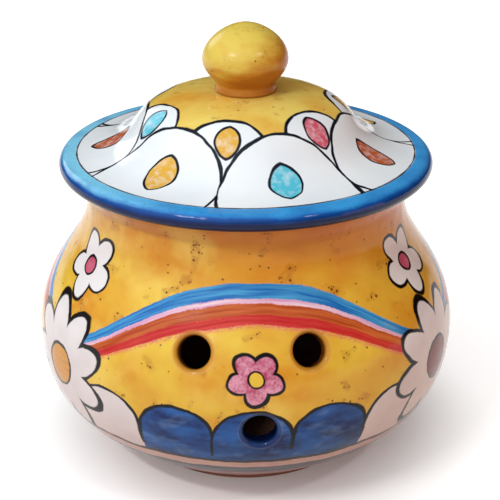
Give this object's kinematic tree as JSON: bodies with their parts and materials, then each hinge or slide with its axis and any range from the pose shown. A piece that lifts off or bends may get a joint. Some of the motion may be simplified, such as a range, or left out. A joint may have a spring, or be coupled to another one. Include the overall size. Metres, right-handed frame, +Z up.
{
  "type": "vented keeper jar",
  "caption": "Round-bellied glazed earthenware keeper jar with front air holes and a lift-off domed lid with a rolled rim and a ball knob, for garlic or dry stores.",
  "frame": {"origin": "centre of the foot ring, on the face the jar stands on", "axes": "+Z up along the jar's turning axis; the air holes face -Y; +X to the right seen from the front"},
  "size_m": [0.15, 0.15, 0.1549],
  "materials": {
    "body_glaze": "glossy transparent glaze over hand-painted colour, with a yellow ground, a striped ribbon, white flowers and a blue wash; the foot ring is bare pink clay",
    "lid_glaze": "glossy transparent glaze over hand-painted colour, with white petals outlined in dark blue round a yellow crown and a blue rolled rim",
    "knob_glaze": "glossy yellow glaze that breaks to amber"
  },
  "bodies": {
    "jar": {"jar_body": "body_glaze"},
    "lid": {"lid_cover": "lid_glaze", "lid_knob": "knob_glaze"}
  },
  "joints": [
    {"name": "lid_lift", "type": "slide", "parent": "jar", "child": "lid", "axis": [0, 0, 1], "range_m": [0, 0.12]}
  ]
}
